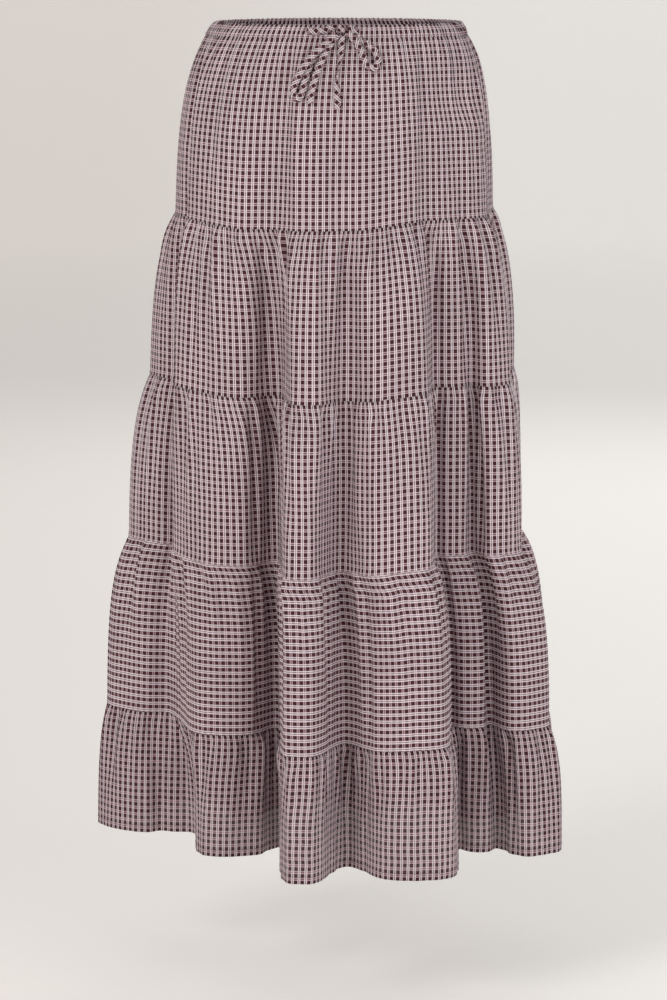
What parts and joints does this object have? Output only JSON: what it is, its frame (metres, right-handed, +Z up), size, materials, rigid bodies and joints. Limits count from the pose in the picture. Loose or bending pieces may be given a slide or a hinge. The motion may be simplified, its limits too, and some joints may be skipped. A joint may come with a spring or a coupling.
{
  "type": "long tiered ruffle skirt",
  "caption": "Ankle-length skirt of gathered cloth tiers under a drawstring waist, in the hollow form it has when worn.",
  "frame": {"origin": "middle of the waist opening, level with the top edge of the drawstring casing", "axes": "+Z up along the wearer, -Y to the front, +X to the viewer's right"},
  "size_m": [0.5479, 0.4346, 0.9582],
  "materials": {
    "check_cloth": "light plain-woven cotton, maroon with fine off-white double lines both ways",
    "turned_check_cloth": "the same cotton turned a quarter, so that its bright lines run across",
    "bias_strip": "the same cotton cut on the bias and sewn into a flat strip"
  },
  "bodies": {
    "root": {"waist_casing_front": "check_cloth", "waist_casing_back": "check_cloth", "yoke_front": "check_cloth", "yoke_back": "check_cloth", "tier_2_front": "check_cloth", "tier_2_back": "check_cloth", "tier_3_front": "check_cloth", "tier_3_back": "check_cloth", "tier_4_front": "turned_check_cloth", "tier_4_back": "turned_check_cloth", "tier_5_front": "check_cloth", "tier_5_back": "check_cloth", "pocket_bag": "check_cloth", "drawstring_knot": "bias_strip", "drawstring_left_lead": "bias_strip", "drawstring_right_lead": "bias_strip", "drawstring_left_loop": "bias_strip", "drawstring_right_loop": "bias_strip", "drawstring_left_tail": "bias_strip", "drawstring_middle_tail": "bias_strip"}
  },
  "joints": []
}
